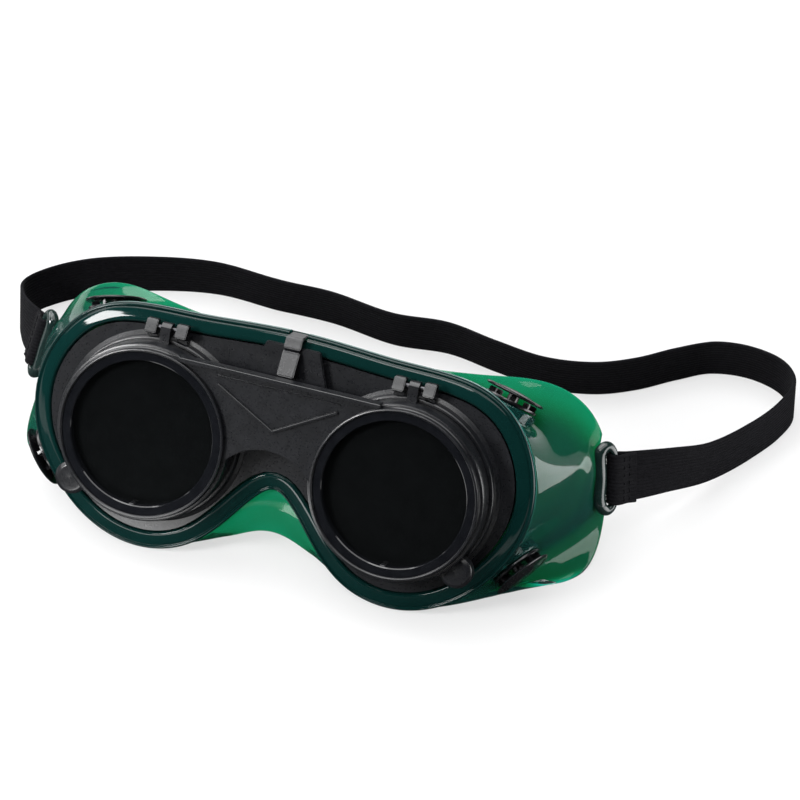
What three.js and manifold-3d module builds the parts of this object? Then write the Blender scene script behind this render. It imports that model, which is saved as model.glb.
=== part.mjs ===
// Flip-up welding goggles: soft one-piece facepiece, fixed front frame with clear cover lenses,
// hinged flip frame with shade lenses, four vents and an elastic head strap. Millimetres, +Z up.
//
// The goggles are drawn upright in their own frame (X to the side, Y from the front towards the
// wearer, Z up, origin midway between the lens centres at the front face of the flip frame). They
// then lean back as they lie on a table, where the strap stands on its edge behind them.
import * as THREE from "three";
import { mergeVertices } from "three/addons/utils/BufferGeometryUtils.js";
import Module from "manifold-3d";

const wasm = await Module();
wasm.setup();

// ---------- driving dimensions ----------
const GAP = 0.3; // clearance between neighbouring pieces
const LEAN = THREE.MathUtils.degToRad(28); // how far the goggles lean back on the table
const TABLE_Z = -43.6; // height of the table below the lens centres' midpoint

const LENS_X = 42.5; // half the spacing of the lens centres
const LENS_R = 25; // 50 mm round lenses
const POCKET_R = 25.4; // bore that holds a lens and its retaining ring
const SIGHT_R = 23.8; // clear opening in front of each lens
const RING_SEGMENTS = 40;
const LENS_SEGMENTS = 32;

const FLIP_DEPTH = 9; // front to back of the flip rings
const FLIP_R = 29; // outer radius of the flip rings
const FILTER = { front: 4, back: 6.8 };

const COLLAR_Y = FLIP_DEPTH + 0.4; // fixed collars that the flip rings close against
const PLATE = { front: 13.2, back: 15.7, inset: 6.2 };
const COVER = { front: 15.3, back: 17.3 };
const TUBE_BACK = 21.5;
const CATCH = { width: 5.6, clear: 0.35 };
// The notch in the top of the rim that the catch post's hook passes over.
const CATCH_NOTCH = { halfWidth: CATCH.width / 2 + CATCH.clear, back: 17.8, bottom: 38.2 };

const WALL = 1.8; // thickness of the soft facepiece
const BAND = { front: 16, back: 18, inner: 9.5, curb: 5.8 }; // front band behind the plate
const RIM_Y = 16.5; // where the side wall starts behind the rim

const HINGE = { x: 41.6, y: 9.4, z: 33.4, pinR: 0.8, boreR: 1.1 };
const ARM = { width: 3.3, radius: 2, front: 2.4 }; // front is measured from the hinge axis
const LUG = { width: 3.8, reach: 2.3, gap: 1.55 };

const STRAP = { width: 16.5, thick: 1.2 };
const LOOP = { z: 6.5, halfHeight: 10.2, barR: 1.3, tilt: -0.16 };
const LOOP_FRONT = new THREE.Vector2(94.8, 50); // bar on the facepiece wall, seen from above
const LOOP_REAR = new THREE.Vector2(99.4, 53.8); // bar that carries the strap

// ---------- colours ----------
const COLOURS = {
  pvc: { color: 0x0a5a3c, roughness: 0.2, metalness: 0 },
  black: { color: 0x232428, roughness: 0.4, metalness: 0 },
  rubber: { color: 0x101012, roughness: 0.8, metalness: 0 },
  shade: { color: 0x07090a, roughness: 0.1, metalness: 0 },
  clear: { color: 0xdfe8e4, roughness: 0.1, metalness: 0 },
  steel: { color: 0xa8aaad, roughness: 0.3, metalness: 1 },
  webbing: { color: 0x141416, roughness: 0.9, metalness: 0 },
};

// ---------- geometry helpers ----------
const goggles = new THREE.Group();
const assembly = new THREE.Group();
assembly.add(goggles);

/** Turns a mesh whose faces point inwards inside out, so that its volume is positive. */
function outward(geometry) {
  const p = geometry.attributes.position;
  const index = geometry.index.array;
  const a = new THREE.Vector3();
  const b = new THREE.Vector3();
  const c = new THREE.Vector3();
  let volume = 0;
  for (let i = 0; i < index.length; i += 3) {
    a.fromBufferAttribute(p, index[i]);
    b.fromBufferAttribute(p, index[i + 1]);
    c.fromBufferAttribute(p, index[i + 2]);
    volume += a.dot(b.cross(c));
  }
  if (volume < 0) {
    for (let i = 0; i < index.length; i += 3) {
      [index[i], index[i + 1]] = [index[i + 1], index[i]];
    }
  }
  return geometry;
}

/** The bare closed mesh of a geometry: positions only, shared vertices merged, facing out. */
function closed(geometry) {
  const bare = geometry.clone();
  bare.deleteAttribute("normal");
  bare.deleteAttribute("uv");
  const merged = mergeVertices(bare, 1e-4);
  const kept = [];
  for (let i = 0; i < merged.index.count; i += 3) {
    const [a, b, c] = merged.index.array.subarray(i, i + 3);
    if (a !== b && b !== c && c !== a) {
      kept.push(a, b, c);
    }
  }
  merged.setIndex(kept);
  return outward(merged);
}

function toSolid(geometry) {
  const mesh = closed(geometry);
  const data = { numProp: 3 };
  data.vertProperties = new Float32Array(mesh.attributes.position.array);
  data.triVerts = new Uint32Array(mesh.index.array);
  return new wasm.Manifold(new wasm.Mesh(data));
}

function toGeometry(solid) {
  const mesh = solid.getMesh();
  const geometry = new THREE.BufferGeometry();
  geometry.setAttribute("position", new THREE.BufferAttribute(mesh.vertProperties, 3));
  geometry.setIndex(new THREE.BufferAttribute(mesh.triVerts, 1));
  return geometry;
}

const union = (...geometries) => geometries.map(toSolid).reduce((a, b) => a.add(b));

function addMesh(name, geometry, look, parent = goggles) {
  const mesh = new THREE.Mesh(geometry, new THREE.MeshStandardMaterial(COLOURS[look]));
  mesh.name = name;
  parent.add(mesh);
  return mesh;
}

/** A ring about the Y axis from a closed profile of [radius, y] corners. */
function ring(profile, x = 0, z = 0, segments = RING_SEGMENTS) {
  const points = [...profile, profile[0]].map(([r, y]) => new THREE.Vector2(r, y));
  return new THREE.LatheGeometry(points, segments).translate(x, 0, z);
}

/** A solid of revolution about the Y axis, whose profile starts and ends on the axis. */
function turned(profile, segments) {
  return new THREE.LatheGeometry(profile.map(([r, y]) => new THREE.Vector2(r, y)), segments);
}

/** A front-view outline (x, z) as a plate between two depths. */
function plate(shape, front, back, curveSegments = 12) {
  const options = { depth: back - front, bevelEnabled: false, curveSegments };
  const geometry = new THREE.ExtrudeGeometry(shape, options);
  return geometry.rotateX(Math.PI / 2).translate(0, back, 0);
}

/** A side-view outline (y, z) as a block between two x positions. */
function sideBlock(shape, x0, x1, curveSegments = 8) {
  const options = { depth: x1 - x0, bevelEnabled: false, curveSegments };
  const turn = new THREE.Matrix4().makeBasis(
    new THREE.Vector3(0, 1, 0),
    new THREE.Vector3(0, 0, 1),
    new THREE.Vector3(1, 0, 0),
  );
  return new THREE.ExtrudeGeometry(shape, options).applyMatrix4(turn).translate(x0, 0, 0);
}

/** An outline through corner points, always anticlockwise so that its holes cut through. */
function polygon(corners) {
  const points = corners.map(([a, b]) => new THREE.Vector2(a, b));
  if (THREE.ShapeUtils.isClockWise(points)) {
    points.reverse();
  }
  return new THREE.Shape(points);
}

/** A cylinder along a unit direction, between two distances from a point. */
function rod(point, direction, from, to, radius, segments = 24) {
  const geometry = new THREE.CylinderGeometry(radius, radius, to - from, segments);
  geometry.translate(0, (from + to) / 2, 0);
  const turn = new THREE.Quaternion().setFromUnitVectors(new THREE.Vector3(0, 1, 0), direction);
  return geometry.applyQuaternion(turn).translate(point.x, point.y, point.z);
}

// ---------- the facepiece surface ----------
// Ribs of the right half, from top centre round the temple to the nose. Each rib is a curve from
// the rim outline (x, z) through a point halfway down the wall to the rear edge (x, y, z).
const RIBS = [
  { rim: [0, 40.6], mid: [0, 24, 37.2], edge: [0, 30, 34] },
  { rim: [17, 39.9], mid: [18, 24.5, 37], edge: [18, 32, 33] },
  { rim: [33, 38.8], mid: [35, 28, 34.5], edge: [35, 39.5, 31.8] },
  { rim: [48, 38.6], mid: [50.5, 30.5, 31.5], edge: [51, 46, 31.5] },
  { rim: [61, 36.9], mid: [64.5, 31.5, 26.9], edge: [64, 50, 33.2] },
  { rim: [71.5, 31.5], mid: [75.5, 33, 24], edge: [75.2, 55, 33.1] },
  { rim: [79, 22.5], mid: [84.8, 34.5, 20.5], edge: [87.2, 56.5, 28.2] },
  { rim: [83.3, 12], mid: [91, 35.5, 12.5], edge: [94.4, 57.5, 18.2] },
  { rim: [84.4, 1], mid: [92.6, 35, 1], edge: [96.7, 59.5, 4.6] },
  { rim: [82, -11], mid: [86.4, 34, -10], edge: [98.2, 57, -11.2] },
  { rim: [75.5, -22.5], mid: [78.2, 34, -20.8], edge: [98.4, 48.5, -23.8] },
  { rim: [65.5, -33], mid: [75.4, 28, -34.3], edge: [92.2, 38.5, -28.6] },
  { rim: [54, -39.3], mid: [62.5, 23.5, -38], edge: [75.5, 34.5, -31] },
  { rim: [42, -41.3], mid: [45.5, 23, -38.4], edge: [51, 33, -32] },
  { rim: [31, -39.2], mid: [31, 22.5, -37.8], edge: [32, 29, -34.2] },
  { rim: [22.5, -34.3], mid: [21, 19.5, -37], edge: [21, 24, -36.8] },
  { rim: [14.5, -26], mid: [13, 18.5, -29.2], edge: [12.5, 21.5, -31.8] },
  { rim: [7, -16.5], mid: [6.5, 17.5, -22.6], edge: [6, 20, -28] },
  { rim: [0, -11], mid: [0, 17.2, -18.6], edge: [0, 19.3, -26.6] },
];
const OUTLINE_STEPS = 72;

/** A closed curve through one point of every rib, mirrored to the left half. */
function ribCurve(pick) {
  const right = RIBS.map(pick).map(([x, y, z]) => new THREE.Vector3(x, y, z));
  const left = right.slice(1, -1).reverse();
  const mirrored = left.map((p) => new THREE.Vector3(-p.x, p.y, p.z));
  return new THREE.CatmullRomCurve3([...right, ...mirrored], true);
}

const rimCurve = ribCurve((rib) => [rib.rim[0], RIM_Y, rib.rim[1]]);
const midCurve = ribCurve((rib) => rib.mid);
const edgeCurve = ribCurve((rib) => rib.edge);

/** A point of the rim outline moved outwards in the front view by an offset, at a depth. */
function rimPoint(u, offset, y) {
  const t = rimCurve.getTangent(u);
  const p = rimCurve.getPoint(u);
  const length = Math.hypot(t.x, t.z);
  return new THREE.Vector3(p.x - (t.z / length) * offset, y, p.z + (t.x / length) * offset);
}

/** A point of the wall's outer skin: u runs round the face, w from the rim to the rear edge. */
function wallPoint(u, w) {
  const rim = rimCurve.getPoint(u);
  const mid = midCurve.getPoint(u);
  const edge = edgeCurve.getPoint(u);
  const pull = mid.multiplyScalar(2).addScaledVector(rim, -0.5).addScaledVector(edge, -0.5);
  const point = rim.multiplyScalar((1 - w) ** 2);
  return point.addScaledVector(pull, 2 * w * (1 - w)).addScaledVector(edge, w * w);
}

function wallNormal(u, w) {
  const step = 0.004;
  const low = Math.max(w - 0.02, 0);
  const high = Math.min(w + 0.02, 1);
  const along = wallPoint((u + step) % 1, w).sub(wallPoint((u + 1 - step) % 1, w));
  const down = wallPoint(u, high).sub(wallPoint(u, low));
  return along.cross(down).normalize();
}

const innerWall = (u, w) => wallPoint(u, w).addScaledVector(wallNormal(u, w), -WALL);

/** The rounded lip: just past the rear edge, half way through the wall. */
function lipPoint(u) {
  const onward = wallPoint(u, 1).sub(wallPoint(u, 0.97)).normalize();
  const middle = wallPoint(u, 1).addScaledVector(wallNormal(u, 1), -WALL / 2);
  return middle.addScaledVector(onward, 0.6);
}

/** The facepiece's section as a closed list of stations, each a closed curve round the face. */
function facepieceStations() {
  const curb = [
    [-BAND.inner, BAND.front],
    [-BAND.curb, BAND.front],
    [-BAND.curb + 0.4, 13.7],
    [-4.2, 12.6],
    [-2.2, 12.3],
    [-0.7, 12.9],
    [0, 14.3],
  ];
  const depths = [0, 0.25, 0.5, 0.75, 1];
  const front = curb.map(([offset, y]) => (u) => rimPoint(u, offset, y));
  const outer = depths.map((w) => (u) => wallPoint(u, w));
  const inner = depths.slice(1).reverse().map((w) => (u) => innerWall(u, w));
  const back = [-2.4, -BAND.inner].map((offset) => (u) => rimPoint(u, offset, BAND.back));
  return [...front, ...outer, lipPoint, ...inner, ...back];
}

/** A closed surface from closed curves: it wraps round both ways, like a tyre. */
function loftLoop(stations, steps) {
  const positions = [];
  const index = [];
  for (const station of stations) {
    for (let i = 0; i < steps; i++) {
      positions.push(...station(i / steps).toArray());
    }
  }
  for (let s = 0; s < stations.length; s++) {
    const next = (s + 1) % stations.length;
    for (let i = 0; i < steps; i++) {
      const j = (i + 1) % steps;
      const a = s * steps + i;
      const b = s * steps + j;
      const c = next * steps + i;
      const d = next * steps + j;
      index.push(a, b, c, b, d, c);
    }
  }
  const geometry = new THREE.BufferGeometry();
  geometry.setAttribute("position", new THREE.Float32BufferAttribute(positions, 3));
  geometry.setIndex(index);
  return geometry;
}

// ---------- vents ----------
const VENTS = {
  upper: { at: [66.4, 31.2, 26.2], axis: [0.24, 0.32, 0.92] },
  lower: { at: [77.2, 26, -18.9], axis: [0.78, -0.15, -0.6] },
};
const VENT_HOLE_R = 4;
const BOSS = { radius: 9.4, sunk: 2, height: 2.6 };

function ventPlaces() {
  const places = [];
  for (const [level, { at, axis }] of Object.entries(VENTS)) {
    for (const [side, sign] of [["left", -1], ["right", 1]]) {
      const point = new THREE.Vector3(at[0] * sign, at[1], at[2]);
      const direction = new THREE.Vector3(axis[0] * sign, axis[1], axis[2]).normalize();
      places.push({ name: `${level}_${side}`, point, direction });
    }
  }
  return places;
}

function addVent({ name, point, direction }) {
  const turn = new THREE.Quaternion().setFromUnitVectors(new THREE.Vector3(0, 1, 0), direction);
  const place = (geometry) => geometry.applyQuaternion(turn).translate(...point.toArray());
  const seat = BOSS.height + GAP;
  const base = ring([
    [2.4, -4.4], [4.3, -4.4], [4.7, -3.8], [3.6, -2.6], [3.6, seat], [9, seat], [9, seat + 1],
    [2.4, seat + 1],
  ], 0, 0, 16);
  const posts = [];
  for (let i = 0; i < 4; i++) {
    const angle = Math.PI / 4 + (i * Math.PI) / 2;
    const foot = new THREE.Vector3(6.6 * Math.cos(angle), 0, 6.6 * Math.sin(angle));
    posts.push(rod(foot, new THREE.Vector3(0, 1, 0), seat + 0.5, seat + 2.6, 0.9, 6));
  }
  const baseSolid = union(base, ...posts);
  const under = seat + 2.6 + GAP;
  const cap = turned([
    [0, -2], [1.9, -2], [1.9, under], [9.6, under], [10, under + 0.4], [9.7, under + 0.9],
    [7, under + 1.5], [0, under + 1.8],
  ], 24);
  addMesh(`vent_base_${name}`, place(toGeometry(baseSolid)), "black");
  addMesh(`vent_cap_${name}`, place(closed(cap)), "black");
}

// ---------- facepiece ----------
/** A bar of the strap loop's plane as a point: the loop leans a little with the wall. */
function loopPoint(bar, side, z) {
  return new THREE.Vector3(side * (bar.x + LOOP.tilt * (z - LOOP.z)), bar.y, z);
}

/** One closed rounded loop for the strap, its front bar half sunk in the wall. */
function strapLoop(side) {
  const top = LOOP.z + LOOP.halfHeight;
  const bottom = LOOP.z - LOOP.halfHeight;
  const corner = 1.6;
  const points = [
    loopPoint(LOOP_FRONT, side, bottom + corner),
    loopPoint(LOOP_FRONT, side, LOOP.z),
    loopPoint(LOOP_FRONT, side, top - corner),
    loopPoint(LOOP_FRONT.clone().lerp(LOOP_REAR, 0.5), side, top),
    loopPoint(LOOP_REAR, side, top - corner),
    loopPoint(LOOP_REAR, side, LOOP.z),
    loopPoint(LOOP_REAR, side, bottom + corner),
    loopPoint(LOOP_REAR.clone().lerp(LOOP_FRONT, 0.5), side, bottom),
  ];
  const path = new THREE.CatmullRomCurve3(points, true);
  const section = new THREE.Shape();
  section.absarc(0, 0, LOOP.barR, 0, 2 * Math.PI);
  const options = { steps: 24, extrudePath: path, curveSegments: 4 };
  return new THREE.ExtrudeGeometry(section, options);
}

/** The block that clears the rear edge of the wall where the strap passes. */
function strapNotch(side) {
  const geometry = new THREE.BoxGeometry(16, 16, 2 * LOOP.halfHeight);
  return geometry.translate(side * 98, LOOP_FRONT.y + 2.2 + 8, LOOP.z);
}

/** The block that clears the top of the rim where the catch hook reaches over it. */
function catchNotch() {
  const { halfWidth, back, bottom } = CATCH_NOTCH;
  const geometry = new THREE.BoxGeometry(2 * halfWidth, back - 10, 8);
  return geometry.translate(0, (back + 10) / 2, bottom + 4);
}

function addFacepiece() {
  let solid = toSolid(loftLoop(facepieceStations(), OUTLINE_STEPS));
  for (const { point, direction } of ventPlaces()) {
    solid = solid.add(toSolid(rod(point, direction, -BOSS.sunk, BOSS.height, BOSS.radius, 20)));
    solid = solid.subtract(toSolid(rod(point, direction, BOSS.height, 8, BOSS.radius, 20)));
    solid = solid.subtract(toSolid(rod(point, direction, -8, 8, VENT_HOLE_R, 12)));
  }
  for (const side of [-1, 1]) {
    solid = solid.subtract(toSolid(strapNotch(side)));
    solid = solid.add(toSolid(strapLoop(side)));
  }
  solid = solid.subtract(toSolid(catchNotch()));
  const table = new THREE.BoxGeometry(260, 160, 20).translate(0, 30, TABLE_Z - 10);
  solid = solid.subtract(toSolid(table.rotateX(LEAN)));
  addMesh("facepiece", toGeometry(solid), "pvc");
}

// ---------- fixed front frame ----------
function plateOutline() {
  const points = [];
  for (let i = 0; i < OUTLINE_STEPS; i++) {
    const p = rimPoint(i / OUTLINE_STEPS, -PLATE.inset, 0);
    points.push([p.x, p.z]);
  }
  const shape = polygon(points);
  for (const side of [-1, 1]) {
    const hole = new THREE.Path();
    hole.absarc(side * LENS_X, 0, 27, 0, 2 * Math.PI, true);
    shape.holes.push(hole);
  }
  return shape;
}

/** Collar in front of the plate, socket behind it with an outer lip that grips the band. */
function lensSocket(side) {
  return ring([
    [24.6, COLLAR_Y], [29.6, COLLAR_Y], [30, COLLAR_Y + 0.4], [30, PLATE.back],
    [28, PLATE.back], [28, BAND.back + 0.4], [33, BAND.back + 0.4], [33, BAND.back + 1],
    [29, 20.4], [28, TUBE_BACK], [POCKET_R, TUBE_BACK], [POCKET_R, COVER.front - GAP],
    [SIGHT_R, COVER.front - GAP], [SIGHT_R, PLATE.front],
  ], side * LENS_X);
}

/** A lug of the hinge: square in front, its foot on the plate and clear of the rim behind it. */
function hingeLug(centre) {
  const front = HINGE.y - LUG.reach;
  const back = HINGE.y + LUG.reach;
  const top = HINGE.z + 2.8;
  const outline = polygon([
    [13.4, 28.6], [10.4, 28.6], [10.4, 30.4], [front + 0.5, 30.9], [front, 31.4],
    [front, top - 0.5], [front + 0.5, top], [back - 0.9, top], [back, top - 0.9], [back, 32.1],
    [13.4, 32.1],
  ]);
  const bore = new THREE.Path();
  bore.absarc(HINGE.y, HINGE.z, HINGE.boreR, 0, 2 * Math.PI, true);
  outline.holes.push(bore);
  return sideBlock(outline, centre - LUG.width / 2, centre + LUG.width / 2);
}

/** The post between the hinges and the hook that reaches over the rim through its notch. */
function catchPost() {
  const { bottom, back } = CATCH_NOTCH;
  const under = bottom + GAP;
  const outline = polygon([
    [13.4, 27.6], [8.4, 27.6], [8, 28], [8, 35.4], [9.2, 37.4], [9.8, under + 0.7],
    [10.6, under + 1.4], [back - 0.8, under + 1.4], [back - GAP, under + 0.9],
    [back - GAP, under], [11.4, under], [11.4, 35], [11.8, 33.2], [13.4, 33.2],
  ]);
  return sideBlock(outline, -CATCH.width / 2, CATCH.width / 2);
}

/** The sloping tab that the catch post stands on, in front of the rim's curb. */
function catchTab() {
  const upper = polygon([[-13, 25], [13, 25], [9, 36.8], [-9, 36.8]]);
  const foot = polygon([[-12, 25.4], [12, 25.4], [10.4, 33], [-10.4, 33]]);
  return [plate(upper, 10.4, 11.9), plate(foot, 11.5, PLATE.front + 0.3)];
}

function addFrontFrame() {
  const lugs = [];
  const spread = (ARM.width + LUG.width) / 2 + LUG.gap;
  for (const x of [-HINGE.x, HINGE.x]) {
    lugs.push(hingeLug(x - spread), hingeLug(x + spread));
  }
  const solid = union(
    plate(plateOutline(), PLATE.front, PLATE.back, 24),
    lensSocket(-1),
    lensSocket(1),
    ...lugs,
    catchPost(),
    ...catchTab(),
  );
  addMesh("front_frame", toGeometry(solid), "black");
}

// ---------- flip frame ----------
function flipRing(side) {
  return ring([
    [25.2, 0.5], [25.7, 0], [27.2, 0], [27.7, 0.5], [27.7, 1.9], [28.6, 2.2], [FLIP_R, 2.7],
    [FLIP_R, 8.5], [FLIP_R - 0.5, FLIP_DEPTH], [POCKET_R, FLIP_DEPTH],
    [POCKET_R, FILTER.front - GAP], [SIGHT_R, FILTER.front - GAP], [SIGHT_R, 2.9],
  ], side * LENS_X);
}

/** The web between the rings: straight top, sides inside the rings, an arch for the nose. */
function bridgeWeb() {
  const top = 27.6;
  const reach = 26.6; // radius from each lens centre where the web ends inside the ring
  const start = THREE.MathUtils.degToRad(100);
  const end = THREE.MathUtils.degToRad(194);
  const apex = 4; // top of the nose arch
  const corner = new THREE.Vector2(LENS_X + reach * Math.cos(end), reach * Math.sin(end));
  const rise = apex - corner.y;
  const archR = (corner.x ** 2 + rise ** 2) / (2 * rise);
  const sweep = Math.asin(corner.x / archR);
  const shape = new THREE.Shape();
  shape.moveTo(-LENS_X - reach * Math.cos(start), top);
  shape.lineTo(LENS_X + reach * Math.cos(start), top);
  shape.absarc(LENS_X, 0, reach, start, end, false);
  const quarter = Math.PI / 2;
  shape.absarc(0, apex - archR, archR, quarter - sweep, quarter + sweep, false);
  shape.absarc(-LENS_X, 0, reach, Math.PI - end, Math.PI - start, false);
  return plate(shape, 1.6, 4.2, 14);
}

/** A straight raised rib between two points of the front view. */
function rib([x0, z0], [x1, z1], width, front, back) {
  const length = Math.hypot(x1 - x0, z1 - z0);
  const geometry = new THREE.BoxGeometry(length, back - front, width);
  geometry.rotateY(-Math.atan2(z1 - z0, x1 - x0));
  return geometry.translate((x0 + x1) / 2, (front + back) / 2, (z0 + z1) / 2);
}

/** The arm of one ring: up behind its top edge, back over the collar, round the hinge pin. */
function hingeArm(x) {
  const { y, z } = HINGE;
  const outline = new THREE.Shape();
  outline.moveTo(y - ARM.front, 26.6);
  outline.lineTo(FLIP_DEPTH, 26.6);
  outline.lineTo(FLIP_DEPTH, 30.2);
  outline.lineTo(y + ARM.radius, 31.6);
  outline.lineTo(y + ARM.radius, z);
  outline.absarc(y, z, ARM.radius, 0, 0.78 * Math.PI, false);
  outline.lineTo(y - ARM.front, z + 0.8);
  const bore = new THREE.Path();
  bore.absarc(y, z, HINGE.boreR, 0, 2 * Math.PI, true);
  outline.holes.push(bore);
  return sideBlock(outline, x - ARM.width / 2, x + ARM.width / 2);
}

/** The round tab at the lower outer side of a ring that a finger lifts. */
function fingerTab(side) {
  const angle = THREE.MathUtils.degToRad(-43);
  const x = side * (LENS_X + 31 * Math.cos(angle));
  const z = 31 * Math.sin(angle);
  const disc = turned([[0, 4.6], [4.8, 4.6], [5.4, 5.2], [5.4, 8.2], [5, 8.6], [0, 8.6]], 24);
  return disc.translate(x, 0, z);
}

function addFlipFrame() {
  const parts = [bridgeWeb(), rib([-34, 27], [34, 27], 1.6, 0, 4.2)];
  for (const side of [-1, 1]) {
    parts.push(flipRing(side), hingeArm(side * HINGE.x), fingerTab(side));
    parts.push(rib([side * 20.4, 21.8], [side * -0.4, 10.3], 1.4, 0.7, 2.6));
  }
  let solid = union(...parts);
  for (const side of [-1, 1]) {
    const axis = new THREE.Vector3(0, 1, 0);
    const centre = new THREE.Vector3(side * LENS_X, 0, 0);
    solid = solid.subtract(toSolid(rod(centre, axis, FILTER.front - GAP, 10, POCKET_R, 40)));
    solid = solid.subtract(toSolid(rod(centre, axis, -2, 5, SIGHT_R, 40)));
  }
  addMesh("flip_frame", toGeometry(solid), "black");
}

function addHingePins() {
  const half = ARM.width / 2 + LUG.width + LUG.gap;
  for (const [side, sign] of [["left", -1], ["right", 1]]) {
    const centre = new THREE.Vector3(sign * HINGE.x, HINGE.y, HINGE.z);
    const axis = new THREE.Vector3(1, 0, 0);
    addMesh(`hinge_pin_${side}`, closed(rod(centre, axis, -half, half, HINGE.pinR, 12)), "steel");
  }
}

// ---------- lenses and what holds them ----------
function lensDisc(front, back, x) {
  const profile = [[0, front], [LENS_R, front], [LENS_R, back], [0, back]];
  return turned(profile, LENS_SEGMENTS).translate(x, 0, 0);
}

/** A threaded retaining ring with two slots for a spanner in its rear face. */
function retainingRing(front, back, x) {
  const profile = [[22.6, front], [25.1, front], [25.1, back], [22.6, back]];
  const body = ring(profile, x, 0, LENS_SEGMENTS);
  let solid = toSolid(body);
  for (const sign of [-1, 1]) {
    const slot = new THREE.BoxGeometry(3, 1.6, 3);
    solid = solid.subtract(toSolid(slot.translate(x, back + 0.3, sign * 23.6)));
  }
  return toGeometry(solid);
}

function addLenses() {
  const gasket = 0.5;
  const stacks = [
    { kind: "filter", look: "shade", span: FILTER, ringBack: FLIP_DEPTH - 0.1 },
    { kind: "cover", look: "clear", span: COVER, ringBack: 20.4 },
  ];
  for (const [side, sign] of [["left", -1], ["right", 1]]) {
    const x = sign * LENS_X;
    for (const { kind, look, span, ringBack } of stacks) {
      const seal = span.back + GAP;
      const sealRing = ring([
        [22.8, seal], [25, seal], [25, seal + gasket], [22.8, seal + gasket],
      ], x, 0, LENS_SEGMENTS);
      const ringFront = seal + gasket + GAP;
      addMesh(`${kind}_lens_${side}`, closed(lensDisc(span.front, span.back, x)), look);
      addMesh(`${kind}_gasket_${side}`, closed(sealRing), "rubber");
      addMesh(`${kind}_ring_${side}`, retainingRing(ringFront, ringBack, x), "black");
    }
  }
}

// ---------- strap ----------
// Route of the strap on the table from the right loop round the back to the left loop, in the
// table's frame: x, y, height of the lower edge above the table, and how far the top leans in y.
const STRAP_ROUTE = [
  [113.2, 66.8, 8.2, 0.25],
  [122.4, 83, 1.6, 0.06],
  [131.2, 98, 0.2, 0],
  [137.8, 112, 0.2, 0],
  [139.4, 123, 0.2, 0],
  [133.6, 132.4, 0.2, -0.08],
  [121.6, 137, 0.2, -0.14],
  [108.6, 135.6, 0.2, -0.16],
  [97.8, 128.4, 0.2, -0.16],
  [86.6, 119.2, 0.2, -0.16],
  [74.4, 112.6, 0.2, -0.16],
  [58, 109.6, 0.2, -0.16],
  [40, 112, 0.2, -0.16],
  [22, 115.4, 0.2, -0.16],
  [3, 113.6, 0.2, -0.16],
  [-20, 117, 0.2, -0.16],
  [-40, 117, 0.2, -0.16],
  [-62, 118, 0.2, -0.14],
  [-83, 112.8, 0.2, -0.1],
  [-103, 103, 0.2, 0],
  [-114.6, 92.8, 0.4, 0.04],
  [-118.6, 81.6, 2.6, 0.1],
  [-112.6, 66, 8.4, 0.25],
];
const STRAP_STEPS = 66;

/** The strap's turn round one loop bar, from its sewn end to the start of the long run. */
function foldFrames(side) {
  const bar = LOOP_REAR;
  const along = new THREE.Vector2(0.518, 0.855);
  const outwards = new THREE.Vector2(0.855, -0.518);
  const turnR = LOOP.barR + GAP + STRAP.thick / 2;
  const lay = STRAP.thick / 2 + 0.25;
  const spots = [[11, lay], [6, lay], [2.4, turnR - 0.2]];
  for (let i = 0; i <= 4; i++) {
    const angle = (i * Math.PI) / 4;
    spots.push([-turnR * Math.sin(angle), turnR * Math.cos(angle)]);
  }
  spots.push([2.4, 0.2 - turnR], [6, -lay]);
  return spots.map(([a, b]) => {
    const spot = bar.clone().addScaledVector(along, a).addScaledVector(outwards, b);
    const across = new THREE.Vector3(side * LOOP.tilt, 0, 1).normalize();
    return { centre: new THREE.Vector3(side * spot.x, spot.y, LOOP.z), across };
  });
}

/** Frames of the whole strap in the table's frame: centre of the band and its width direction. */
function strapFrames() {
  const lean = new THREE.Matrix4().makeRotationX(-LEAN);
  const ends = [1, -1].map((side) => foldFrames(side).map(({ centre, across }) => ({
    centre: centre.applyMatrix4(lean),
    across: across.transformDirection(lean),
  })));
  const route = STRAP_ROUTE.map(([x, y, height, leanY]) => {
    const across = new THREE.Vector3(0, leanY, 1).normalize();
    const foot = new THREE.Vector3(x, y, TABLE_Z + height);
    return { centre: foot.addScaledVector(across, STRAP.width / 2), across };
  });
  const knots = [ends[0].at(-1), ...route, ends[1].at(-1)];
  const centres = new THREE.CatmullRomCurve3(knots.map((k) => k.centre));
  const acrosses = new THREE.CatmullRomCurve3(knots.map((k) => k.across));
  const run = [];
  for (let i = 1; i < STRAP_STEPS; i++) {
    const t = i / STRAP_STEPS;
    run.push({ centre: centres.getPoint(t), across: acrosses.getPoint(t).normalize() });
  }
  return [...ends[0], ...run, ...ends[1].toReversed()];
}

/** A flat band through the frames, closed at both ends. */
function bandGeometry(frames) {
  const positions = [];
  const index = [];
  frames.forEach(({ centre, across }, i) => {
    const before = frames[Math.max(i - 1, 0)].centre;
    const after = frames[Math.min(i + 1, frames.length - 1)].centre;
    const side = after.clone().sub(before).cross(across).normalize();
    for (const [w, n] of [[-1, -1], [1, -1], [1, 1], [-1, 1]]) {
      const corner = centre.clone().addScaledVector(across, (w * STRAP.width) / 2);
      positions.push(...corner.addScaledVector(side, (n * STRAP.thick) / 2).toArray());
    }
  });
  for (let i = 0; i + 1 < frames.length; i++) {
    for (let k = 0; k < 4; k++) {
      const a = 4 * i + k;
      const b = 4 * i + ((k + 1) % 4);
      index.push(a, b, a + 4, b, b + 4, a + 4);
    }
  }
  const last = 4 * (frames.length - 1);
  index.push(0, 2, 1, 0, 3, 2, last, last + 1, last + 2, last, last + 2, last + 3);
  const geometry = new THREE.BufferGeometry();
  geometry.setAttribute("position", new THREE.Float32BufferAttribute(positions, 3));
  geometry.setIndex(index);
  return geometry;
}

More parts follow.
